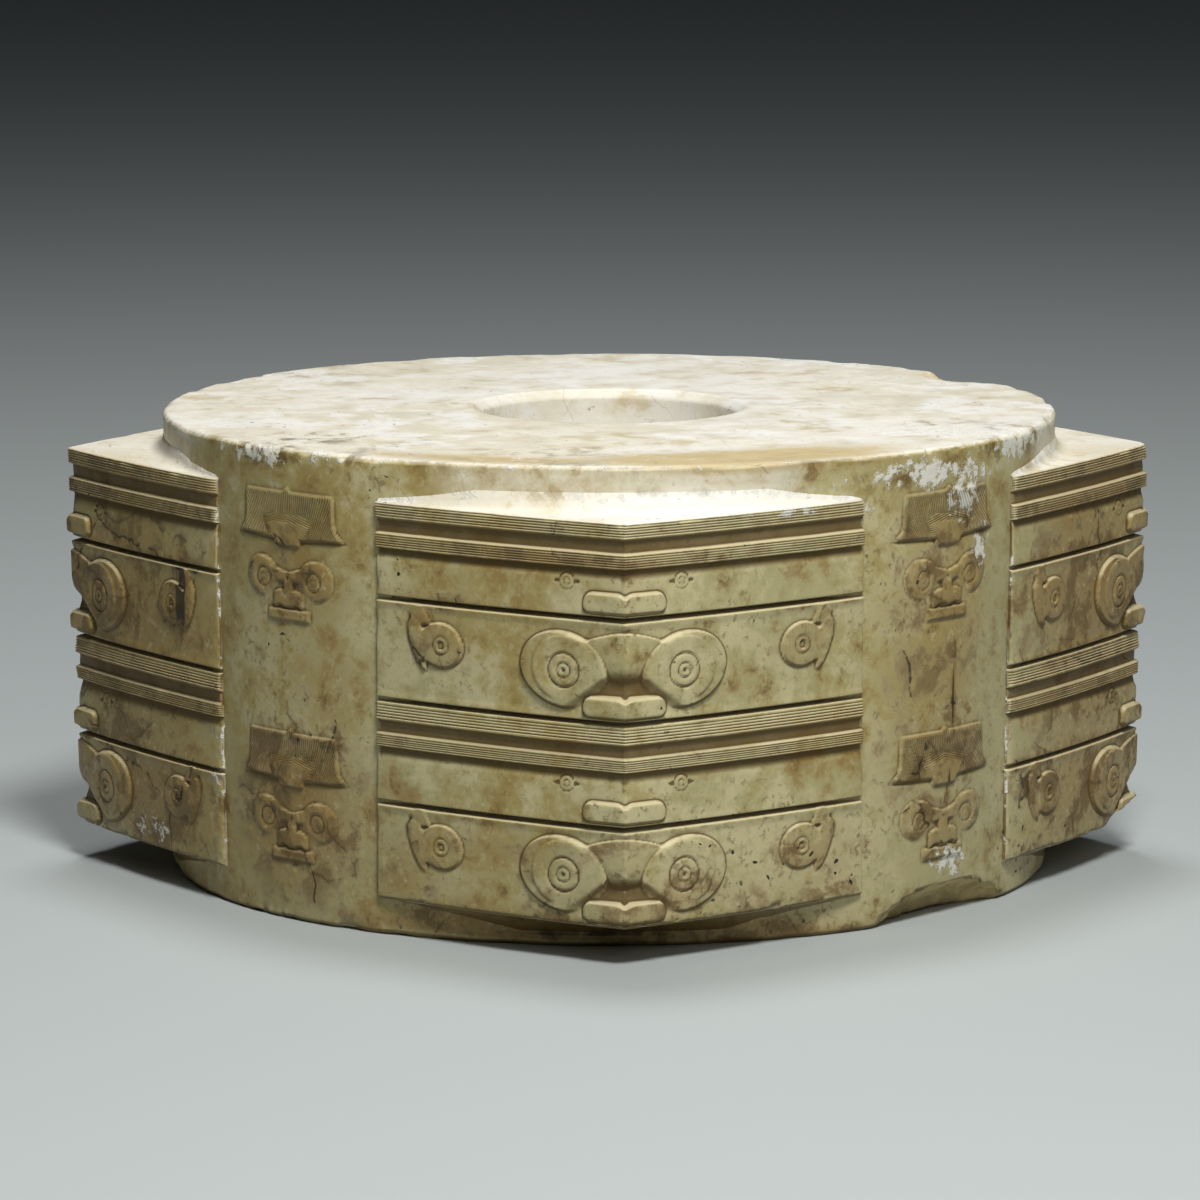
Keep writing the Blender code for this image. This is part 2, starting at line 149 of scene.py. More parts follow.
STAINS_AND_SHADOW = (
    Patch(-43.4, 42.0, 0.4, 9.0, 1.55), Patch(-44.3, 25.0, 0.35, 4.0, 1.4),
    Patch(-156.5, 58.0, 1.2, 8.5, 1.5),
    Patch(-165, 18.0, 14, 12.0, 0.8), Patch(-12, 20.0, 16, 16.0, 0.6), Patch(-134, 20.0, 12, 16.0, 0.72),
    # Patch(-95, 1.5, ...) here and Patch(-92, 3.0, ...) below are painted shadow on the foot under the front
    # block's overhang
    Patch(-45, 45.0, 12, 40.0, 0.5), Patch(-95, 1.5, 25, 5.0, 1.3), Patch(-66, 14.0, 8, 9.0, 0.35),
    Patch(-44, 36.0, 3.0, 18.0, 0.6), Patch(-166, 58.0, 3.0, 8.0, 0.75), Patch(-92, 3.0, 24, 4.5, 0.9),
    Patch(-97, 73.0, 10, 3.0, 0.5), Patch(-104, 19.0, 7, 5.0, 0.45), Patch(-134, 64.0, 9, 9.0, 0.5),
    Patch(-128, 40.0, 6, 14.0, 0.45), Patch(-15, 40.0, 10, 9.0, 0.6), Patch(-20, 70.0, 8, 5.0, 0.45),
    Patch(-50, 60.0, 10, 10.0, 0.4), Patch(-85, 12.0, 12, 4.0, 0.35), Patch(-118, 14.0, 6, 8.0, 0.45),
    Patch(-138, 15.0, 8, 7.0, 0.55), Patch(60, 50.0, 12, 16.0, 0.5), Patch(120, 30.0, 12, 14.0, 0.5),
    Patch(95, 66.0, 10, 8.0, 0.45), Patch(168, 46.0, 10, 10.0, 0.5), Patch(-76, 86.0, 16, 2.0, 0.4),
    Patch(-168, 46.0, 16, 44.0, 0.62), Patch(-12, 50.0, 16, 36.0, 0.7), Patch(-134, 40.0, 12, 40.0, 0.3),
    Patch(-112, 62.0, 7, 9.0, 0.35), Patch(-68, 56.0, 8, 6.0, 0.3), Patch(168, 50.0, 16, 40.0, 0.5),
)

# Ochre streaks on the top, with the distance from the axis in place of the height
TOP_STAINS = (
    Patch(-74, 79.0, 21, 10.0, 1.0), Patch(-106, 80.5, 20, 5.0, 0.8), Patch(-95, 60.0, 7, 3.0, 0.5),
    Patch(-150, 75.0, 12, 7.0, 0.3), Patch(-20, 78.0, 14, 6.0, 0.3), Patch(60, 60.0, 20, 10.0, 0.35),
    Patch(-82, 34.0, 20, 4.0, 0.35), Patch(130, 50.0, 18, 12.0, 0.3), Patch(15, 45.0, 16, 8.0, 0.3),
)

# The camera, before the front corner: millimetres and degrees
CAMERA_DISTANCE = 1179.5
CAMERA_ANGLE = -91.56
CAMERA_ELEVATION = 9.42
CAMERA_LENS = 180.6
CAMERA_SHIFT = (-0.0076, 0.0258)
SENSOR_WIDTH = 36.0
VIEW_END = 40.0

# Lamps as place, width, power and colour, then the sky and the floor, in metres
LAMPS = {
    "overhead": ((-0.03, 0.28, 1.2), 0.36, 5.6, (1.0, 0.99, 0.975)),
    "key": ((0.11, -0.54, 0.78), 0.24, 6.8, (1.0, 0.98, 0.95)),
    "fill": ((0.26, -1.05, 0.6), 0.5, 1.3, (1.0, 0.97, 0.93)),
}
SKY_COLOUR = (0.86, 0.92, 1.0)
SKY_STRENGTH = 0.022
FLOOR_COLOUR = (0.47, 0.515, 0.52)
FLOOR_ROUGHNESS = 0.7
FLOOR_HALF = 9.0

QUARTERS = ("right", "back", "left", "front")


def smooth(value, low, high):
    """A soft step: 0 below low, 1 above high, and 3t^2 - 2t^3 between them."""
    t = np.clip((value - low) / (high - low), 0, 1)
    return t * t * (3 - 2 * t)


def grain(points, size, seed, octaves=3):
    """Smooth random heights from -1 to 1: random numbers on a lattice of the given size, blended, in
    finer and weaker layers."""
    cells = 32
    lattice = np.random.default_rng(seed).uniform(-1, 1, (cells, cells, cells))
    total = np.zeros(points.shape[:-1])
    for octave in range(octaves):
        place = points * 2 ** octave / size + 7.31 * octave
        cell = np.floor(place).astype(int)
        share = place - cell
        share = share * share * (3 - 2 * share)
        for corner in range(8):
            step = np.array([corner & 1, corner >> 1 & 1, corner >> 2])
            weight = np.where(step, share, 1 - share).prod(-1)
            i, j, k = np.moveaxis((cell + step) % cells, -1, 0)
            total += weight * lattice[i, j, k] / 2 ** octave
    return total / (2 - 0.5 ** (octaves - 1))


def paced(low, high, stretches, plain):
    """Grid lines from low to high: each stretch (from, to, spacing) has its own spacing, the rest a plain
    one. The lines stand where the running sum of 1 / spacing passes whole steps."""
    samples = 4000
    fine = np.linspace(low, high, samples)
    spacing = np.full_like(fine, plain)
    for start, stop, step in stretches:
        spacing[(fine >= start) & (fine <= stop)] = step
    count = np.concatenate([[0], np.cumsum((fine[1] - fine[0]) / spacing[1:])])
    return np.interp(np.linspace(0, count[-1], math.ceil(count[-1]) + 1), count, fine)


def ellipse(x, y, middle, long, short, tilt=0.0):
    """Depth inside an ellipse, about in millimetres: positive inside and negative outside."""
    lean = math.radians(tilt)
    a = (x - middle[0]) * math.cos(lean) + (y - middle[1]) * math.sin(lean)
    b = (y - middle[1]) * math.cos(lean) - (x - middle[0]) * math.sin(lean)
    return (1 - np.hypot(a / long, b / short)) * math.sqrt(long * short)


def outline(x, y, corners):
    """Depth inside a polygon: the distance to its nearest side, positive inside and negative outside."""
    nearest = np.full(x.shape, 1e9)
    inside = np.zeros(x.shape, bool)
    for (ax, ay), (bx, by) in zip(corners, corners[1:] + corners[:1]):
        dx, dy = bx - ax, by - ay
        t = np.clip(((x - ax) * dx + (y - ay) * dy) / (dx * dx + dy * dy), 0, 1)
        nearest = np.minimum(nearest, np.hypot(x - ax - t * dx, y - ay - t * dy))
        crosses = (ay > y) != (by > y)
        inside ^= crosses & (x < ax + (y - ay) / (dy if dy else 1e-9) * dx)
    return np.where(inside, nearest, -nearest)


def plate(ground, depth, level, bevel=0.35):
    """Lays a plate at a level over the ground: inside its outline, with a soft bevel along it."""
    share = smooth(depth, -bevel / 2, bevel / 2)
    return ground + share * (level - ground)


def line(ground, depth, width=0.32, cut=0.2):
    """Cuts a line along an outline: a rounded groove where the depth is near 0."""
    return ground - cut * np.exp(-(depth / (width / 2)) ** 2)


def spun(turn):
    """Matrix that turns points, kept as rows, round the bore by an angle in radians."""
    return np.array([[math.cos(turn), math.sin(turn), 0], [-math.sin(turn), math.cos(turn), 0], [0, 0, 1]])


def tube_radius(z):
    """Radius of the tube's outer wall: a straight line from foot to top."""
    return FOOT_RADIUS + (TOP_RADIUS - FOOT_RADIUS) * z / HEIGHT


def corner_radius(z):
    """How far a corner's edge stands from the axis: a straight line from foot to top."""
    return CORNER_RADIUS_FOOT + (CORNER_RADIUS_TOP - CORNER_RADIUS_FOOT) * z / HEIGHT


def tiers():
    """Each register's heights from its top down: top, band's foot, gap's foot, mask's top, groove, foot."""
    for register, top in ((UPPER, BLOCK_TOP), (LOWER, LOWER_TOP)):
        yield (top, *(top - np.cumsum(register)))


def profile_points():
    """The plain profile of a face as (height, level) pairs, from the top down."""
    points = []
    for top, band, gap, mask, groove, foot in tiers():
        clear = 0.0 if top == BLOCK_TOP else GROOVE_HALF
        points += [(top - clear, 0.0), (band, 0.0), (band - 0.15, GAP_LEVEL)]
        points += [(gap + 0.1, GAP_LEVEL), (gap, 0.0)]
        points += [(mask, 0.0), (mask - 0.12, MASK_SHADE_LEVEL), (mask - 2.4, -0.5)]
        for cut, above in ((groove, -0.28), (foot, FIELD_LEVEL)):
            if cut - GROOVE_HALF < BLOCK_FOOT:
                points.append((cut, LIP_LEVEL))
                continue
            points += [(cut + GROOVE_HALF + 1.4, above), (cut + GROOVE_HALF + 0.25, LIP_LEVEL)]
            points += [(cut + GROOVE_HALF, LIP_LEVEL - 0.1), (cut + 0.4 * GROOVE_HALF, GROOVE_LEVEL)]
            points += [(cut - 0.4 * GROOVE_HALF, GROOVE_LEVEL), (cut - GROOVE_HALF, LIP_LEVEL - 0.1)]
            if cut == groove:
                below = cut - GROOVE_HALF
                points += [(below - 0.25, LIP_LEVEL + 0.06), (below - 1.6, FIELD_LEVEL)]
    return points


def face_profile(z):
    """Level of the plain face at each height: straight lines between the profile's points, less the
    notches of each band, which are deepest where a sine across it is zero."""
    points = sorted(profile_points())
    level = np.interp(z, [p[0] for p in points], [p[1] for p in points])
    for top, band, gap, mask, *_ in tiers():
        clear = 0.0 if top == BLOCK_TOP else GROOVE_HALF
        for high, low in ((top - clear, band), (gap, mask)):
            share = (z - low) / (high - low)
            notch = STRING_DEPTH * (1 - np.abs(np.sin(math.pi * STRINGS * share))) ** 2
            level -= np.where((share > 0.02) & (share < 0.98), notch, 0)
    return level


def ditch(level, depth, cut, reach=0.6):
    """Sinks the ground a little along the outside of an outline, as the cutter's wheel leaves it."""
    return level - cut * np.exp(-(np.minimum(depth, 0) / reach) ** 2)


def nose(level, s, z, low):
    """The nose bar: a block with eased corners, bent round the ridge, with a notch in its top edge."""
    high = low + NOSE_HEIGHT - 0.6 * np.exp(-(s / 0.8) ** 2)
    across = NOSE_HALF_WIDTH - 0.25 * (z - low) / NOSE_HEIGHT - np.abs(s)
    ease = 1.5
    tall = np.minimum(z - low, high - z)
    corner = np.hypot(np.minimum(across - ease, 0), np.minimum(tall - ease, 0))
    depth = np.where((across < ease) & (tall < ease), ease - corner, np.minimum(across, tall))
    level = ditch(level, depth, 0.22)
    return plate(level, depth, NOSE_LEVEL - 0.1 * (1 - smooth(depth, 0.15, 0.8)), 0.34)


def mask_eye(level, s, z, top):
    """A small eye of the masked figure: two drilled rings and a pointed tick on each side."""
    middle = (MASK_EYE[0], top - MASK_EYE[1])
    beside = np.abs(np.abs(s) - middle[0])
    r = np.hypot(beside, z - middle[1])
    level = level + 0.12 * smooth(1.95 - r, 0, 0.4)
    level = line(level, r - 1.5, 0.4, 0.3)
    level = line(level, r - 0.65, 0.34, 0.26)
    tick = smooth(beside, 1.5, 1.8) * smooth(2.8 - beside, 0, 0.3)
    return level - 0.25 * tick * smooth(0.5 - np.abs(z - middle[1]) - 0.3 * (beside - 1.6), -0.1, 0.15)


def forehead(level, s, z, foot):
    """The plate between the beast's eyes: an arched top edge, and a surface that dips to a hollow over
    the nose, as the product of two bell curves."""
    dip = foot + FOREHEAD_LIFT - 1.7
    arch = foot + FOREHEAD_LIFT + FOREHEAD_HEIGHT - 1.9 * (np.abs(s) / FOREHEAD_HALF_WIDTH) ** 1.6
    depth = np.minimum(arch - z, FOREHEAD_HALF_WIDTH + 0.8 - np.abs(s))
    surface = FIELD_LEVEL - 0.1 + (FOREHEAD_LEVEL - FIELD_LEVEL + 0.1) * smooth(z, dip, dip + 4.5)
    level = ditch(level, depth, 0.1)
    level = plate(level, np.minimum(depth, z - dip), surface, 0.4)
    rise = np.where(z > dip, 1.25, 2.6)
    return level - 0.95 * np.exp(-(s / 6.0) ** 4 - ((z - dip) / rise) ** 2)


def beast_eye(level, s, z, foot):
    """A beast's eye: an oval lid that fades at its low inner side, a crescent step on it, and an eyeball
    drilled as two rings and a pit."""
    x = np.abs(s)
    middle = (BEAST_EYE[0], foot + BEAST_EYE[1])
    lid = ellipse(x, z, middle, LID_LONG, LID_SHORT, LID_TILT)
    inner = smooth((x - middle[0]) * 0.7 + (z - middle[1]), -9.4, -6.4)
    level = level + inner * (ditch(level, lid, 0.12) - level)
    dome = LID_LEVEL - 0.08 * (1 - smooth(lid, 0.2, 3.0))
    level = plate(level, lid, level + inner * (dome - level), 0.34)
    crescent = ellipse(x, z, (middle[0] - 0.5, middle[1] + 0.2), CRESCENT_LONG, CRESCENT_SHORT, LID_TILT)
    outer = smooth((x - middle[0]) * 0.8 + (z - middle[1]) * 0.6, -3.0, 0.5)
    crest = CRESCENT_LEVEL - 0.12 * smooth(crescent, 0.3, 2.5)
    level = level + outer * (plate(level, crescent, crest, 0.38) - level)
    r = np.hypot(x - middle[0] + 0.4, z - middle[1] + 0.1)
    level = level + 0.1 * smooth(EYEBALL_RADIUS - r, 0, 1.2)
    level = line(level, r - EYEBALL_RADIUS, 0.42, 0.36)
    level = line(level, r - PUPIL_RADIUS - 0.45, 0.38, 0.34)
    return level - 0.34 * smooth(0.6 - r, 0, 0.35)


def bird(level, s, z, foot):
    """A bird: an egg-shaped body that runs into a leaf-like wing on its far side, a drilled eye, and a
    plume that rises to the groove."""
    x = np.abs(s)
    middle = (BIRD[0], foot + BIRD[1])
    a, b = x - middle[0], z - middle[1]
    plume = outline(a, b, [(2.2, 3.6), (4.2, 6.9), (5.2, 6.9), (7.2, 5.6), (5.6, 3.4)])
    level = plate(ditch(level, plume, 0.06), plume, BIRD_LEVEL - 0.22, 0.32)
    wing = outline(a, b, [(2.0, 1.2), (3.7, 2.2), (5.2, 4.1), (6.6, 4.7), (7.4, 3.4), (7.2, 1.0), (6.1, -1.8),
                          (4.9, -3.9), (3.5, -5.1), (3.4, -3.4), (2.0, -2.4)])
    body = ellipse(x, z, middle, BIRD_LONG, BIRD_SHORT, 8.0)
    whole = np.maximum(body, wing)
    level = ditch(level, whole, 0.14)
    level = plate(level, whole, BIRD_LEVEL - 0.08 * (1 - smooth(whole, 0.3, 1.6)), 0.4)
    r = np.hypot(a + 0.1, b)
    level = line(level, r - 1.65, 0.4, 0.26)
    level = level + 0.14 * np.exp(-((r - 1.2) / 0.28) ** 2)
    return level - 0.34 * smooth(1.0 - r, 0, 0.35) + 0.24 * smooth(0.5 - r, 0, 0.3)


def face_level(s, z):
    """Level of a corner's two faces, at a distance s from the ridge and a height z."""
    level = face_profile(z) + 0 * s
    for *_, mask, groove, foot in tiers():
        tier = (z > groove + GROOVE_HALF) & (z < mask)
        carved = mask_eye(nose(level, s, z, groove + NOSE_LIFT), s, z, mask)
        level = np.where(tier, carved, level)
        tier = (z > foot) & (z < groove - GROOVE_HALF + 0.1)
        carved = forehead(level, s, z, foot)
        carved = beast_eye(carved, s, z, foot)
        carved = bird(nose(carved, s, z, foot + NOSE_LIFT), s, z, foot)
        level = np.where(tier, carved, level)
    return level


def emblem(x, y):
    """Level, crown share and line phase of a panel's emblem, from its middle line and the crown's top.

    A crown with flaring feet and a pointed peak, a small face in it, a beast's two eyes with a bar
    between them, a narrow nose with two lobes, and a mouth. Each is a plate inside its own outline.
    """
    a = np.abs(x)
    stand = EMBLEM_STAND
    side = np.interp(y, [-9.4, -8.7, -8.1, -6.8, -5.4, 0.0], [12.4, 14.3, 13.5, 12.2, 11.8, 11.5])
    crown = np.minimum(np.minimum(side - a, 0.9 * np.clip(1 - a / 1.0, 0, 1) - y), y + 9.0 - 0.05 * a)
    level = ditch(np.zeros_like(a), crown, 0.08 + 0.22 * smooth(-y, 6.0, 9.0))
    level = plate(level, crown, stand - 0.14 * smooth(crown, 0.3, 1.6) + 0.12 * smooth(-y, 5.5, 8.5), 0.4)
    face = outline(a, y, [(-3.0, -5.5), (2.6, -5.6), (5.3, -6.2), (3.9, -8.0), (3.0, -10.2), (-3.0, -10.4)])
    brow = outline(a, y, [(-3.0, -3.8), (4.4, -4.2), (6.6, -5.2), (5.0, -8.0), (4.2, -9.4), (-3.0, -9.4)])
    level = line(level, np.where(crown > 0.3, brow, 9.0), 0.36, 0.12)
    level = plate(level, face, stand + 0.16, 0.35)
    level = line(level, face - 0.5, 0.3, 0.1)
    level = line(level, np.hypot(a - 1.7, y + 7.4) - 0.55, 0.34, 0.12)
    lid = ellipse(a, y, (6.9, -16.2), 4.4, 3.8, LID_TILT)
    inner = smooth((a - 7.0) * 0.7 + y + 16.2, -5.2, -2.8)
    level = level + inner * (ditch(level, lid, 0.1) - level)
    level = plate(level, lid, level + inner * (stand - 0.1 - level), 0.32)
    outer = smooth((a - 7.0) * 0.8 + (y + 16.2) * 0.6, -2.0, 0.5)
    step = ellipse(a, y, (6.7, -16.1), 3.4, 3.1)
    level = level + outer * (plate(level, step, stand + 0.12, 0.32) - level)
    r = np.hypot(a - 6.6, y + 16.4)
    level = line(level, r - 1.75, 0.55, 0.36)
    level = line(level, r - 0.7, 0.45, 0.28)
    bar = outline(a, y, [(-3.0, -15.3), (0.0, -15.2), (3.4, -14.3), (3.0, -16.9), (-3.0, -17.2)])
    level = plate(ditch(level, bar, 0.1), bar, stand + 0.02, 0.36)
    level = level - 0.3 * smooth(0.6 - np.hypot(x, y + 16.0), 0, 0.4)
    bridge = np.minimum(1.15 - a, np.minimum(-16.9 - y, y + 20.0))
    above = -18.9 + 0.5 * np.cos(a - 1.9) - y
    under = y + 21.5 + 0.25 * np.cos(2 * a - 1.0)
    lobes = np.minimum(np.minimum(3.9 - a, above), under)
    snout = np.maximum(bridge, lobes)
    level = plate(ditch(level, snout, 0.1), snout, stand + 0.04, 0.38)
    mouth = np.minimum(5.5 - a, np.minimum(-22.0 - y, y + 24.2))
    level = plate(ditch(level, mouth, 0.1), mouth, stand, 0.38)
    level = line(level, np.where(mouth > 0.45, y + 23.1, 9.0), 0.32, 0.12)
    fan = np.degrees(np.arctan2(x, y + 24.0))
    phase = np.where(brow > 0, y * 2.2 + a * 0.6, fan * 0.78)
    lined = smooth(crown, 0.35, 0.7) * (1 - smooth(face, -0.2, 0.1))
    return level, lined, phase


def laid(points, patches):
    """How strongly a set of patches lies on each point: the strongest of their soft ovals, each a bell
    curve over its squared distance in angle and height."""
    angle = np.degrees(np.arctan2(points[..., 1], points[..., 0]))
    total = np.zeros(points.shape[:-1])
    for patch in patches:
        turn = (angle - patch.angle + 180) % 360 - 180
        reach = (turn / patch.across) ** 2 + ((points[..., 2] - patch.height) / patch.up) ** 2
        total = np.maximum(total, patch.amount * np.exp(-0.7 * reach))
    return total


def taken(points):
    """Points moved out of the old losses, to the rough wall of each, and how fresh the break is there."""
    points = points.copy()
    broken = np.zeros(points.shape[:-1])
    rough = 0.1 * grain(points, 7.0, 5) + 0.05 * grain(points, 1.6, 6)
    for loss in LOSSES:
        turn = math.radians(loss.angle)
        stand = 0.4 * loss.depth
        chord = math.sqrt(3) / 2
        half = np.array([(loss.depth + stand) / chord, loss.half_length / chord, 2 * abs(loss.height)])
        middle = np.array([loss.radius + stand, 0.0, loss.level - loss.height])
        spin = spun(turn)
        local = (points @ spin.T - middle) / half
        reach = np.linalg.norm(local, axis=-1)
        wall = 1 + rough * smooth(1.6 - reach, 0, 0.8)
        share = np.where(reach < wall, wall / np.maximum(reach, 0.05), 1.0)
        moved = (local * share[..., None] * half + middle) @ spin
        points = np.where((reach < wall)[..., None], moved, points)
        broken = np.maximum(broken, smooth(wall - reach, -0.02, 0.05))
    return points, broken


def hollows(level, reach=2):
    """How sunk each grid point is against its neighbours: the mean level round it, less its own."""
    mean = level
    for axis in (0, 1):
        total = np.zeros_like(mean)
        for step in range(-reach, reach + 1):
            total += np.roll(mean, step, axis)
        mean = total / (2 * reach + 1)
    return mean - level


def stone_mesh(name, points, marks, hub=None):
    """A closed mesh from a grid of points in millimetres, carrying one number a point for each named mark.

    Without a hub the grid closes on itself both ways. With one, its border is closed by a fan to that
    point. The mark "up" is added here: how far each point's normal looks up.
    """
    rows, columns = points.shape[:2]
    index = np.arange(rows * columns).reshape(rows, columns)
    if hub is None:
        index = np.pad(index, ((0, 1), (0, 1)), mode="wrap")
    faces = np.stack([index[:-1, :-1], index[:-1, 1:], index[1:, 1:], index[1:, :-1]], -1).reshape(-1, 4)
    faces = faces.tolist()
    flat = points.reshape(-1, 3)
    if hub is not None:
        ring = np.concatenate([index[0, :-1], index[:-1, -1], index[-1, :0:-1], index[:0:-1, 0]])
        apex = len(flat)
        faces += [(apex, b, a) for a, b in zip(ring.tolist(), np.roll(ring, -1).tolist())]
        flat = np.concatenate([flat, [hub]])
    corners = flat[np.array([face[:3] for face in faces])]
    middle = flat.mean(0)
    spread = np.cross(corners[:, 0] - middle, corners[:, 1] - middle)
    volume = np.einsum("ij,ij->i", spread, corners[:, 2] - middle)
    if volume.sum() < 0:
        faces = [face[::-1] for face in faces]
    mesh = bpy.data.meshes.new(name)
    mesh.from_pydata((flat * MM).tolist(), [], faces)
    mesh.shade_smooth()
    normals = np.zeros(flat.size, np.float32)
    mesh.vertices.foreach_get("normal", normals)
    # The mark "up" drives painted highlight on faces that look up and painted shade on faces that look down
    for mark, values in {**marks, "up": normals[2::3]}.items():
        layer = mesh.attributes.new(mark, "FLOAT", "POINT")
        column = np.zeros(len(flat), np.float32)
        column[:values.size] = values.ravel()
        layer.data.foreach_set("value", column)
    thing = bpy.data.objects.new(name, mesh)
    bpy.context.collection.objects.link(thing)
    return thing


def block_rows():
    """Grid rows of a corner block as (height, stage along the shelf), from the foot up.

    A stage runs from 0 at the shelf's edge to 1 at the cove, 2 at the tube and 3 at the root inside it.
    """
    fine = []
    for top, band, gap, mask, groove, foot in tiers():
        fine += [(mask - 0.5, gap, 0.11), (gap, band, 0.24), (band, top, 0.11)]
        fine += [(groove - 0.8, groove + 0.8, 0.12), (foot - 0.8, foot + 0.8, 0.12)]
    z = paced(BLOCK_FOOT, BLOCK_TOP, fine, 0.29)
    shelf = np.array([0.02, 0.07, 0.18, 0.4, 0.7, 1.0, 1.12, 1.25, 1.38, 1.5, 1.62, 1.74, 1.87, 2.0,
                      2.5, 3.0])
    height = np.concatenate([np.full(len(shelf), BLOCK_FOOT), z, np.full(len(shelf), BLOCK_TOP)])
    inward = np.concatenate([shelf[::-1], np.zeros(len(z)), shelf])
    return height[:, None], inward[:, None]


def block_columns():
    """Grid columns of a corner block as (side, share along the face, share down the end wall, root).

    They stand close together on the nose and eyes, on the bird, and along the far end.
    """
    fine = [(0, 23.2, 0.35), (33.6, 47.4, 0.42), (FACE_LENGTH - 1.2, FACE_LENGTH, 0.3)]
    s = paced(0, FACE_LENGTH, fine, 1.3) / FACE_LENGTH
    wall = np.array([0.35, 0.7, 1.0, 1.0])
    share = np.concatenate([s, np.ones(len(wall))])
    down = np.concatenate([np.zeros(len(s)), wall])
    root = np.zeros(len(share))
    root[-1] = 1.0
    side = np.concatenate([-np.ones(len(share) - 1), np.ones(len(share))])
    both = [np.concatenate([column[:0:-1], column])[None, :] for column in (share, down, root)]
    return side[None, :], *both


def wear_of_face(points, s, z, length):
    """How far the stone has worn back: bell curves with chips along the ridge, the far ends and the
    block's two edges, plus a quarter round along the ends and edges."""
    chips = smooth(grain(points, 5.0, 21), 0.12, 0.5)
    small = smooth(grain(points, 2.0, 22), 0.1, 0.6)
    ridge = np.exp(-(s / 0.9) ** 2)
    ends = np.exp(-((length - np.abs(s)) / 0.8) ** 2)
    rims = np.exp(-((BLOCK_TOP - z) / 0.7) ** 2) + 1.6 * np.exp(-((z - BLOCK_FOOT) / 1.3) ** 2)
    wear = ridge * (0.1 + 0.25 * chips + 0.12 * small) + ends * (0.05 + 0.4 * chips + 0.2 * small)
    wear = wear + rims * (0.35 * chips + 0.22 * small) + 0.05 * smooth(grain(points, 30.0, 23), -0.5, 0.8)
    end = length - np.abs(s)
    for away, bend in ((z - BLOCK_FOOT, FOOT_ROUND), (BLOCK_TOP - z, EDGE_ROUND), (end, EDGE_ROUND)):
        off = np.clip(bend - away, 0, bend)
        wear = wear + bend - np.sqrt(bend ** 2 - off ** 2)
    return wear


def bowed_face(z, share):
    """A block's face in plan before it is carved: the straight line from the corner's edge to the face's
    far end, plus a parabola for the bow.

    Returns the points, the normal and length at each height, and the end wall's foot on the tube.
    """
    radius = tube_radius(z)
    foot = np.stack([np.sqrt(radius ** 2 - BLOCK_HALF_WIDTH ** 2), np.full_like(z, BLOCK_HALF_WIDTH)], -1)
    end = foot + BLOCK_STAND / math.sqrt(2)
    edge = np.stack([corner_radius(z), np.zeros_like(z)], -1)
    length = np.linalg.norm(end - edge, axis=-1)
    along = (end - edge) / length[..., None]
    normal = np.stack([along[..., 1], -along[..., 0]], -1)
    bow = 4 * FACE_BOW * share * (1 - share)
    plain = edge + along * (share * length)[..., None] + normal * bow[..., None]
    return plain, normal, length, foot


def shelved(outer, tall, radius, inward):
    """Carries a face's top and foot edges in to the tube: along the shelf, round a cove that is a quarter
    circle, and on into the stone. Returns the places across and how far the cove climbs."""
    angle = np.arctan2(outer[..., 1], outer[..., 0])
    stand = np.hypot(outer[..., 0], outer[..., 1]) - radius
    cove = np.minimum(np.where(tall > HEIGHT / 2, TOP_COVE, FOOT_COVE), 0.6 * np.maximum(stand, 0))
    away = np.where(inward <= 1, stand + (cove - stand) * inward, cove * np.clip(2 - inward, 0, 1))
    away = away - ROOT_DEPTH * np.clip(inward - 2, 0, 1)
    climb = cove - np.sqrt(np.maximum(cove ** 2 - np.clip(cove - away, 0, cove) ** 2, 0))
    place = np.stack([(radius + away) * np.cos(angle), (radius + away) * np.sin(angle)], -1)
    return np.where((inward > 0)[..., None], place, outer), climb


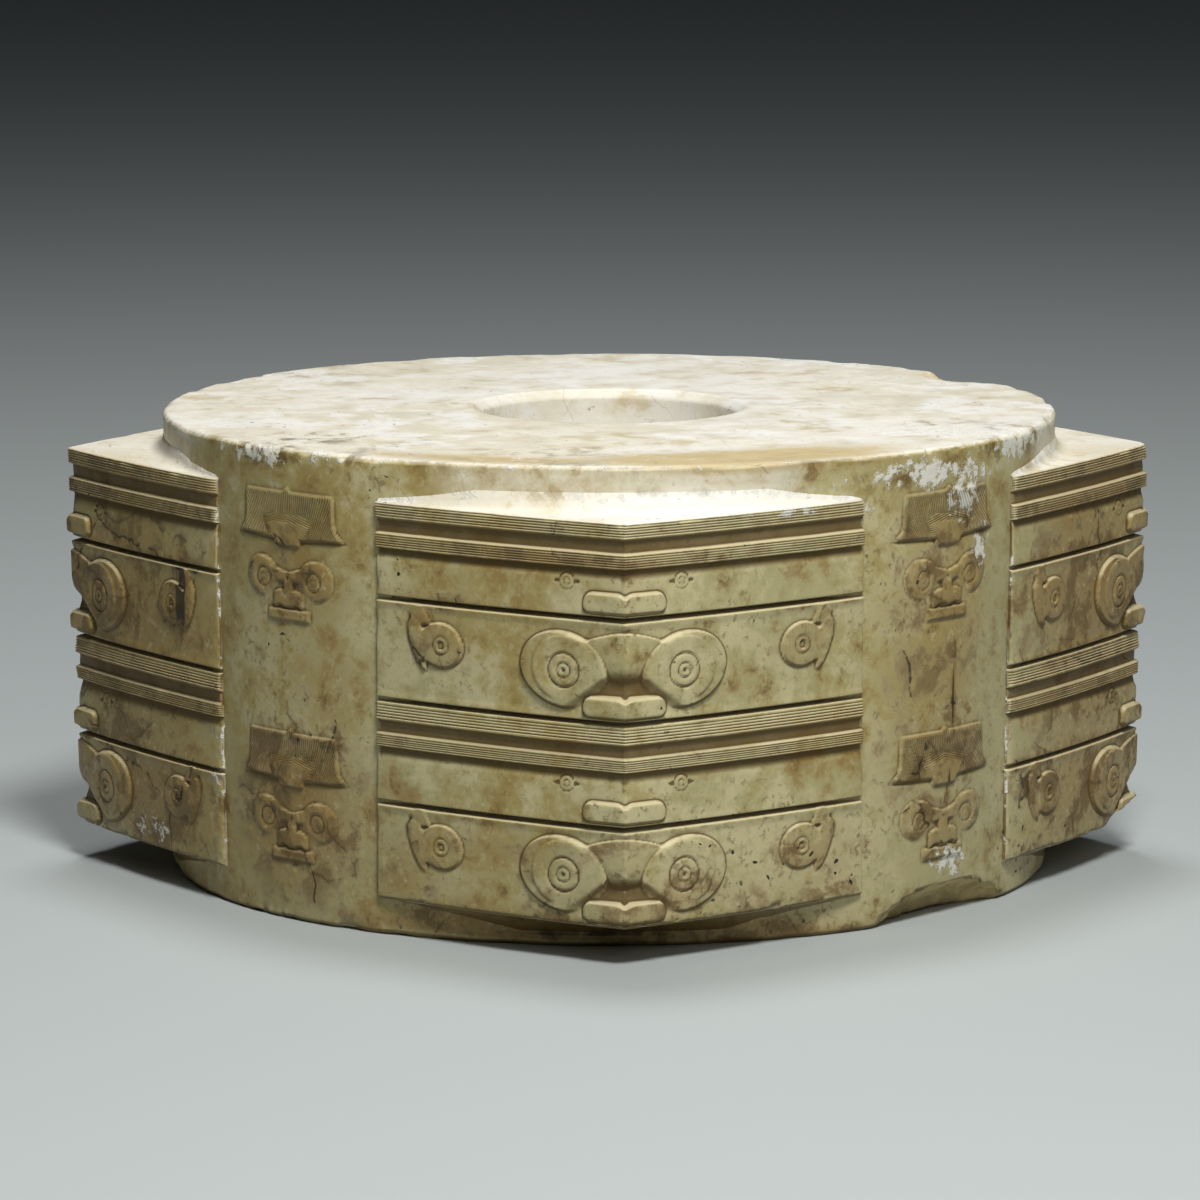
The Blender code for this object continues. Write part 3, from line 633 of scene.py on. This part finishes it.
def corner_block(quarter):
    """One corner block in the corner's own frame, then turned to its quarter.

    A face point is its place on the bowed face plus the level of the carving along the normal. Near the
    ridge that direction turns into the corner's own. The end wall runs straight in to the tube.
    """
    z, inward = block_rows()
    side, share, down, root = block_columns()
    plain, normal, length, foot = bowed_face(z, share)
    s = side * share * length
    turn = math.radians(90 * quarter)
    spin = spun(turn)
    tall = z + 0 * s
    rough = np.stack([plain[..., 0], plain[..., 1] * side, tall], -1) @ spin
    waver = 0.05 * grain(rough, 14.0, 31)
    level = face_level(s, tall + waver * (inward == 0))
    wear = wear_of_face(rough, s, tall, length)
    level = level - wear
    turned = smooth(np.abs(s), 0, 4.0)[..., None]
    direction = (1 - turned) * np.array([1.0, 0.0]) / normal[..., :1] + turned * normal
    outer = plain + level[..., None] * direction
    outer = outer + (foot - outer) * down[..., None]
    outer = outer - root[..., None] * np.array(ROOT_STEP)
    place, climb = shelved(outer, tall, tube_radius(z), inward)
    dip = 0.12 * np.abs(grain(rough, 9.0, 33)) * (inward > 0) * (inward <= 1)
    lift = np.where(tall > HEIGHT / 2, climb - dip, dip - climb)
    points = np.stack([place[..., 0], place[..., 1] * side, tall + lift], -1)
    points = points @ spin
    points, broken = taken(points)
    radial = np.hypot(points[..., 0], points[..., 1])
    on_shelf = (inward > 0) & (tall > HEIGHT / 2)
    near_tube = np.exp(-np.maximum(radial - tube_radius(tall), 0) / 1.6)
    near_end = np.exp(-((length - np.abs(s)) / 0.55) ** 2) * (down < 0.5)
    end_crust = (0.42 + 0.25 * grain(rough, 6.0, 35)) * near_end
    shelf_crust = 0.38 * near_tube
    tint = 0.3 * smooth(level, -0.36, -0.1) - 0.18 * smooth(level, 0.05, 0.25)
    marks = {
        "pale": np.where(on_shelf, 1.0, 0.75 * smooth(tall, BLOCK_TOP - 0.5, BLOCK_TOP)),
        # This mark: earth-brown and painted shade in sunk ground, strongest in the gaps and grooves and under
        # the bands
        "hollow": np.where(inward == 0, hollows(level) + 0.22 * smooth(-level, 0.5, 0.8), 0.0),
        "crust": np.maximum(laid(points, CRUSTS), np.where(on_shelf, shelf_crust, end_crust)),
        # This mark also holds the painted shadow on the foot under the front block
        "stain": laid(points, STAINS_AND_SHADOW) + tint * (inward == 0),
        "worn": np.clip(wear - 0.15, 0, 1) * (inward == 0),
        "broken": broken,
        "lined": np.zeros_like(tall),
        "phase": np.zeros_like(tall),
    }
    hub = np.array([HUB_RADIUS * math.cos(turn), HUB_RADIUS * math.sin(turn), HEIGHT / 2])
    return stone_mesh(QUARTERS[quarter] + "_corner", points, marks, hub)


def bore_radius(z):
    """Radius of the bore: drilled from both mouths to a ridge half way, with the drill's faint rings."""
    half = HEIGHT / 2
    away = np.abs(z - half)
    shoulder = BORE_WAIST + 0.35 * (BORE_RADIUS - BORE_WAIST)
    radius = np.interp(away, [0, RIDGE_HEIGHT, half - BORE_MOUTH_EDGE, half],
                       [BORE_WAIST, shoulder, BORE_RADIUS, BORE_RADIUS + BORE_MOUTH_EDGE])
    return radius + 0.06 * np.sin(away * 2.6) * smooth(away, 6, 12)


def tube_section():
    """The tube's section as (radius, height, on the outer wall or not), once round: up the bore, over the
    top, down the outer wall and back under the foot, with quarter circles at the collars' edges."""
    bore_z = paced(0, HEIGHT, [(0, 2.4, 0.5), (HEIGHT - 2.4, HEIGHT, 0.5)], 3.0)
    bore = [(r, z, 0.0) for r, z in zip(bore_radius(bore_z), bore_z)]
    inner = BORE_RADIUS + BORE_MOUTH_EDGE
    across = paced(inner, TOP_RADIUS - COLLAR_EDGE, [(inner, inner + 2, 0.7), (80, 90, 0.7)], 2.2)
    top = [(r, HEIGHT, 0.0) for r in across[1:-1]]
    bend = np.linspace(math.pi / 2, 0, 7)
    rounding = [(COLLAR_EDGE * (1 - math.cos(t)), COLLAR_EDGE * (1 - math.sin(t))) for t in bend]
    rim = [(TOP_RADIUS - back, HEIGHT - down, 0.0) for back, down in rounding]
    dense = [(top_line - EMBLEM_TALL, top_line + 1.4, 0.4) for top_line in EMBLEM_TOPS]
    wall_z = paced(COLLAR_EDGE, HEIGHT - COLLAR_EDGE, dense, 1.15)[::-1][1:-1]
    wall = [(tube_radius(z), z, 1.0) for z in wall_z]
    foot = [(FOOT_RADIUS - back, up, 0.0) for back, up in rounding[::-1]]
    under = [(r, 0.0, 0.0) for r in paced(inner, FOOT_RADIUS - COLLAR_EDGE, [(80, 90, 1.0)], 4.0)[::-1][1:-1]]
    return np.array(bore + top + rim + wall + foot + under)


def tube_angles():
    """Grid columns round the tube: close together on the emblems, closest on the two front panels."""
    span = math.degrees(EMBLEM_HALF_WIDTH / TOP_RADIUS)
    fine = []
    for middle, gap in ((45, 0.62), (135, 0.62), (225, 0.44), (315, 0.44)):
        fine.append((middle - span, middle + span, math.degrees(gap / TOP_RADIUS)))
    return np.radians(paced(0, 360, fine, 2.3)[:-1])


def tube():
    """The round tube: its section carried round the axis, with emblems, wear and chips as radial levels."""
    section = tube_section()
    radius, z, wall = (section[:, i][:, None] for i in range(3))
    angle = tube_angles()[None, :]
    plain = np.stack([radius * np.cos(angle), radius * np.sin(angle), z + 0 * angle], -1)
    quarter = np.round((np.degrees(angle) - 45) / 90)
    u = np.radians(np.degrees(angle) - 45 - 90 * quarter) * tube_radius(z)
    tall = z + 0 * angle
    level = np.zeros_like(tall)
    lined = np.zeros_like(tall)
    phase = np.zeros_like(tall)
    for top in EMBLEM_TOPS:
        near = (tall < top + 2) & (tall > top - (EMBLEM_TALL + 1)) & (wall > 0)
        part, crown, fan = emblem(u, tall - top)
        level = np.where(near, part, level)
        lined = np.where(near, crown, lined)
        phase = np.where(near, fan, phase)
    chips = smooth(grain(plain, 5.0, 41), 0.1, 0.5)
    small = smooth(grain(plain, 1.8, 42), 0.05, 0.6)
    outer = radius > COLLAR_MIDDLE
    from_rim = np.maximum(TOP_RADIUS - radius, 0)
    rim = np.exp(-((HEIGHT - tall) / 1.4) ** 2) * np.exp(-(from_rim / 1.6) ** 2) * outer
    from_foot = np.maximum(FOOT_RADIUS - radius, 0)
    foot = np.exp(-(tall / 1.8) ** 2) * np.exp(-(from_foot / 1.8) ** 2) * outer
    mouth = np.exp(-(np.abs(radius - BORE_RADIUS - BORE_MOUTH_EDGE) / 2.0) ** 2)
    wear = rim * (0.05 + 0.7 * chips + 0.35 * small) + foot * (0.1 + 0.5 * chips + 0.3 * small)
    wave = 0.07 * grain(plain, 24.0, 43) * wall
    moved = radius + np.where(wall > 0, level, 0) + wave - 0.07 * wall - wear
    down = 0.5 * wear * (tall > HEIGHT / 2) - 0.5 * wear * (tall < HEIGHT / 2)
    points = np.stack([moved * np.cos(angle), moved * np.sin(angle), tall - down], -1)
    points, broken = taken(points)
    top_face = smooth(tall, HEIGHT - 0.55, HEIGHT - 0.05)
    inside = radius < BORE_RADIUS + BORE_MOUTH_EDGE + 0.1
    from_above = np.stack([points[..., 0], points[..., 1], np.hypot(points[..., 0], points[..., 1])], -1)
    over_block = smooth(np.abs(u), 22.0, 40.0) * smooth(tall, BLOCK_TOP - 1.0, BLOCK_TOP + 2.5) * outer
    collar = (0.5 + 0.2 * grain(plain, 12.0, 44)) * over_block
    # The stain patches also hold the painted shadow on the foot under the front block
    on_wall = laid(points, STAINS_AND_SHADOW) + 0.25 * smooth(level, 0.05, 0.3)
    marks = {
        "pale": np.maximum(np.maximum(top_face, 0.85 * inside), collar),
        # This mark: earth-brown and painted shade in the emblems' sunk lines
        "hollow": np.where(wall > 0, hollows(level - wear), 0.0),
        "crust": np.maximum(laid(points, CRUSTS) * outer, rim * 0.42 + 0.3 * mouth * chips),
        "stain": np.where(wall > 0, on_wall, laid(from_above, TOP_STAINS)),
        "worn": np.clip(wear - 0.15, 0, 1),
        "broken": broken,
        "lined": lined,
        "phase": phase,
    }
    return stone_mesh("collars_and_panels", points, marks)


class Wire:
    """An output socket that Python's operators work on: each adds a Math node for numbers."""

    def __init__(self, finish, socket):
        self.finish = finish
        self.socket = socket

    def maths(self, operation, *values):
        """A Math node of the given operation on the values, in their order."""
        return self.finish.node("ShaderNodeMath", {"operation": operation}, dict(enumerate(values)))

    def __add__(self, other):
        return self.maths("ADD", self, other)

    def __radd__(self, other):
        return self.maths("ADD", other, self)

    def __sub__(self, other):
        return self.maths("SUBTRACT", self, other)

    def __rsub__(self, other):
        return self.maths("SUBTRACT", other, self)

    def __mul__(self, other):
        return self.maths("MULTIPLY", self, other)

    def __rmul__(self, other):
        return self.maths("MULTIPLY", other, self)

    def least(self, other):
        """The smaller of the two."""
        return self.maths("MINIMUM", self, other)

    def sine(self):
        """The sine of the value, in radians."""
        return self.maths("SINE", self)

    def step(self, low, high):
        """0 below low and 1 above high, with a soft step between. With low above high it falls instead."""
        sockets = {"Value": self, "From Min": low, "From Max": high}
        return self.finish.node("ShaderNodeMapRange", {"interpolation_type": "SMOOTHSTEP"}, sockets)


class Finish:
    """A material and the nodes behind it."""

    def __init__(self, name):
        self.material = bpy.data.materials.new(name)
        self.material.use_nodes = True
        self.tree = self.material.node_tree
        self.shader = self.tree.nodes["Principled BSDF"]

    def node(self, kind, settings=None, sockets=None, output=0):
        """Adds a node: its settings first, then the values or wires of its sockets. Returns one output."""
        made = self.tree.nodes.new(kind)
        for key, value in (settings or {}).items():
            setattr(made, key, value)
        for key, value in (sockets or {}).items():
            if isinstance(value, Wire):
                self.tree.links.new(value.socket, made.inputs[key])
            else:
                made.inputs[key].default_value = value
        return Wire(self, made.outputs[output])

    def feed(self, name, value):
        """Gives one of the shader's sockets a wire or a plain value."""
        if isinstance(value, Wire):
            self.tree.links.new(value.socket, self.shader.inputs[name])
        else:
            self.shader.inputs[name].default_value = value

    def mark(self, name):
        """A number that the mesh carries at each point."""
        return self.node("ShaderNodeAttribute", {"attribute_name": name}, None, "Fac")

    def noise(self, place, scale, detail, rough, twist=0.0):
        """Soft random clouds from 0 to 1, as many to the metre as the scale says, in finer layers."""
        values = {"Vector": place, "Scale": scale, "Detail": detail, "Roughness": rough, "Distortion": twist}
        return self.node("ShaderNodeTexNoise", None, values, "Fac")

    def blend(self, amount, first, second):
        """A colour between two, by an amount from 0 to 1."""
        names = {0: amount}
        for slot, colour in ((6, first), (7, second)):
            names[slot] = colour if isinstance(colour, Wire) else (*colour, 1.0)
        settings = {"data_type": "RGBA", "clamp_factor": True}
        return self.node("ShaderNodeMix", settings, names, 2)


# Colours of the stone, as linear light: the sides, the stains, the top and the crusts
OLIVE = (0.40, 0.315, 0.115)
KHAKI = (0.565, 0.505, 0.285)
GREY_GREEN = (0.43, 0.39, 0.20)
AMBER = (0.28, 0.17, 0.05)
UMBER = (0.075, 0.045, 0.015)
SOOT_AND_SHADOW = (0.018, 0.012, 0.006)
CREAM = (0.80, 0.755, 0.61)
STRAW_PAINTED_HIGHLIGHT = (0.82, 0.73, 0.45)
EARTH_AND_SHADE = (0.115, 0.068, 0.018)
IVORY = (0.88, 0.865, 0.79)
OCHRE = (0.60, 0.475, 0.235)
CHALK = (0.89, 0.885, 0.84)
LIME = (0.80, 0.79, 0.715)


def jade():
    """Altered nephrite: olive and khaki sides with amber clouds, stains and cracks, an ivory top with
    ochre streaks, and white crusts.

    The marks of the mesh say where each lies: pale (the top), crust, stain (real stains, and painted
    shadow on the foot under the front block), worn, broken, hollow (sunk ground, with earth-brown and
    painted shade), and up (which way the surface looks: painted straw highlight above, painted shade
    below). The marks lined and phase draw the feather lines of the crowns. Noise breaks up the edge of
    every one.
    """
    stone = Finish("jade")
    place = stone.node("ShaderNodeTexCoord", None, None, "Object")
    hollow = stone.mark("hollow")
    crusted = stone.mark("crust")
    broken = stone.mark("broken")
    stain = stone.mark("stain")

    drift = stone.noise(place, 11.0, 3.0, 0.5, 0.6)
    clouds = stone.noise(place, 32.0, 6.0, 0.64, 0.4)
    mottle = stone.noise(place, 130.0, 6.0, 0.7, 0.2)
    flecks = stone.noise(place, 560.0, 3.0, 0.65)
    uneven = mottle - 0.5
    jitter = stone.node("ShaderNodeTexNoise", None, {"Vector": place, "Scale": 60.0, "Detail": 4.0}, "Color")
    shift = {0: jitter, 1: (0.014,) * 3, 2: place}
    bent = stone.node("ShaderNodeVectorMath", {"operation": "MULTIPLY_ADD"}, shift)
    edges = {"feature": "DISTANCE_TO_EDGE"}
    cracks = stone.node("ShaderNodeTexVoronoi", edges, {"Vector": bent, "Scale": 19.0}, "Distance")
    veins = stone.node("ShaderNodeTexVoronoi", edges, {"Vector": bent, "Scale": 47.0}, "Distance")
    cells = {"Vector": bent, "Scale": 430.0}
    chance = stone.node("ShaderNodeTexVoronoi", None, cells, "Color").step(0.64, 0.66)
    chance = chance * clouds.step(0.52, 0.6)
    specks = stone.node("ShaderNodeTexVoronoi", None, cells, "Distance").step(0.19, 0.14) * chance
    # This mark holds real stains and, on the foot under the front block, painted shadow
    stained_and_shadowed = (stain + 1.4 * uneven + 0.6 * (clouds - 0.5)).step(0.22, 0.75)
    cracks = cracks.step(0.007, 0.001) * stained_and_shadowed.step(0.35, 0.6) * mottle.step(0.46, 0.54)
    up = stone.mark("up")

    side = stone.blend((drift + 0.6 * uneven).step(0.36, 0.64), OLIVE, GREY_GREEN)
    side = stone.blend((clouds + 1.2 * uneven).step(0.45, 0.68), side, KHAKI)
    side = stone.blend((clouds + 1.2 * uneven).step(0.47, 0.27) * 0.65, side, AMBER)
    side = stone.blend(stained_and_shadowed * 0.7, side, AMBER)
    side = stone.blend(stained_and_shadowed * mottle.step(0.47, 0.58) * 0.65, side, EARTH_AND_SHADE)
    side = stone.blend(flecks.step(0.56, 0.67) * clouds.step(0.44, 0.58) * 0.5, side, EARTH_AND_SHADE)
    side = stone.blend(flecks.step(0.44, 0.34) * mottle.step(0.56, 0.42) * 0.45, side, KHAKI)
    side = stone.blend(mottle.step(0.4, 0.28) * 0.5, side, UMBER)
    threads = veins.step(0.02, 0.0) * stained_and_shadowed.step(0.1, 0.5) * mottle.step(0.42, 0.55)
    side = stone.blend(threads * 0.55, side, UMBER)
    # Black where the stains run strongest: real veins, and the painted shadow on the foot under the front
    # block
    side = stone.blend((stain + 0.9 * uneven).step(1.02, 1.3) * 0.85, side, SOOT_AND_SHADOW)
    side = stone.blend(cracks * 0.8, side, SOOT_AND_SHADOW)
    side = stone.blend(specks * 0.95, side, SOOT_AND_SHADOW)
    # Painted shade, with earth-brown, in sunk ground
    side = stone.blend(hollow.step(0.02, 0.24) * 0.88, side, EARTH_AND_SHADE)
    # Painted shade on faces that look down, and a painted straw highlight on faces that look up
    side = stone.blend(up.step(-0.12, -0.5) * 0.75, side, EARTH_AND_SHADE)
    side = stone.blend(up.step(0.26, 0.7) * 0.68, side, STRAW_PAINTED_HIGHLIGHT)

    top = stone.blend((drift + 0.5 * uneven).step(0.38, 0.6), CREAM, IVORY)
    top = stone.blend((clouds + 0.9 * uneven).step(0.5, 0.66) * 0.9, top, CHALK)
    top = stone.blend((clouds + 0.8 * uneven).step(0.42, 0.3) * 0.45, top, OCHRE)
    top = stone.blend(stained_and_shadowed * 0.9, top, OCHRE)
    top = stone.blend(flecks.step(0.6, 0.7) * mottle.step(0.5, 0.62) * 0.45, top, AMBER)
    top = stone.blend(veins.step(0.012, 0.0) * clouds.step(0.52, 0.42) * 0.2, top, AMBER)
    top = stone.blend(specks * 0.6, top, UMBER)

    pale = stone.mark("pale")
    body = stone.blend((pale + 0.6 * uneven * pale.step(0.99, 0.9)).step(0.1, 0.9), side, top)
    ragged = (crusted + 1.3 * uneven + 1.1 * (flecks - 0.5)).step(0.42, 0.6)
    body = stone.blend(crusted.step(0.2, 0.5) * mottle.step(0.5, 0.38) * 0.55, body, UMBER)
    body = stone.blend(ragged * 0.85, body, LIME)
    body = stone.blend((stone.mark("worn") + 0.6 * uneven).step(0.2, 0.7) * 0.4, body, CREAM)
    body = stone.blend(broken * (0.35 + 0.45 * mottle.step(0.4, 0.6)), body, OCHRE)

    stone.feed("Base Color", body)
    rough = 0.34 + 0.26 * mottle.step(0.3, 0.7) + 0.3 * ragged + 0.25 * broken
    stone.feed("Roughness", (rough + 0.2 * hollow.step(0.05, 0.4)).least(0.95))
    stone.feed("IOR", 1.6)
    stone.feed("Specular IOR Level", 0.24)

    lines = stone.mark("lined") * (2 * math.pi * stone.mark("phase")).sine()
    pits = flecks.step(0.6, 0.72) * mottle.step(0.45, 0.62)
    relief = 0.6 * mottle + 0.25 * flecks - 0.6 * pits + 0.9 * lines + 0.7 * ragged * (0.5 + flecks)
    relief = relief - 0.8 * cracks - 1.0 * specks
    bump = {"Strength": 0.7, "Distance": 0.0003, "Height": relief}
    stone.feed("Normal", stone.node("ShaderNodeBump", None, bump))
    return stone.material


def plain_finish(name, colour, roughness):
    """A finish of one colour all over."""
    made = Finish(name)
    made.feed("Base Color", (*colour, 1.0))
    made.feed("Roughness", roughness)
    return made.material


def floor():
    """A plain pale floor, wide enough to fill the view."""
    mesh = bpy.data.meshes.new("floor")
    corners = [(FLOOR_HALF * x, FLOOR_HALF * y, 0) for x, y in ((-1, -1), (1, -1), (1, 1), (-1, 1))]
    mesh.from_pydata(corners, [], [(0, 1, 2, 3)])
    mesh.materials.append(plain_finish("pale floor", FLOOR_COLOUR, FLOOR_ROUGHNESS))
    thing = bpy.data.objects.new("floor", mesh)
    bpy.context.collection.objects.link(thing)


def aim(thing, place, target):
    """Puts a lamp or camera at a place, facing a target."""
    thing.location = place
    thing.rotation_euler = (Vector(target) - Vector(place)).to_track_quat("-Z", "Y").to_euler()


def lamp(name, place, size, power, colour):
    """A round lamp that faces the middle of the piece."""
    light = bpy.data.lights.new(name, "AREA")
    light.shape = "DISK"
    light.size = size
    light.energy = power
    light.color = colour
    thing = bpy.data.objects.new(name, light)
    bpy.context.collection.objects.link(thing)
    aim(thing, place, (0, 0, 0.5 * HEIGHT * MM))


def studio():
    """Soft light from overhead, a steep key in front that grazes the carving, a low fill and a pale sky."""
    for name, settings in LAMPS.items():
        lamp(name, *settings)
    world = bpy.data.worlds.new("studio")
    world.use_nodes = True
    sky = world.node_tree.nodes["Background"]
    sky.inputs["Color"].default_value = (*SKY_COLOUR, 1.0)
    sky.inputs["Strength"].default_value = SKY_STRENGTH
    bpy.context.scene.world = world
    bpy.context.scene.view_settings.view_transform = "Standard"


def camera():
    """The photo is squeezed sideways by 4 to 3, and the stone is built in its true proportions. So this
    camera's picture is to be compared with the photo scaled to 4 to 3, in the middle of the square."""
    lens = bpy.data.cameras.new("camera")
    lens.lens = CAMERA_LENS
    lens.sensor_width = SENSOR_WIDTH
    lens.shift_x, lens.shift_y = CAMERA_SHIFT
    lens.clip_end = VIEW_END
    thing = bpy.data.objects.new("camera", lens)
    bpy.context.collection.objects.link(thing)
    turn = math.radians(CAMERA_ANGLE)
    rise = math.radians(CAMERA_ELEVATION)
    away = CAMERA_DISTANCE * MM
    target = Vector((0, 0, HEIGHT * MM / 2))
    flat = math.cos(rise)
    place = target + away * Vector((flat * math.cos(turn), flat * math.sin(turn), math.sin(rise)))
    aim(thing, place, target)
    bpy.context.scene.camera = thing


def dress():
    """The five meshes of the one stone, each riding on the body and standing for the solid."""
    finish = jade()
    pieces = [tube()] + [corner_block(quarter) for quarter in range(len(QUARTERS))]
    for piece in pieces:
        piece.data.materials.append(finish)
        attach(piece, "root")
        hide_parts("jade_cong")


camera()
floor()
studio()
dress()
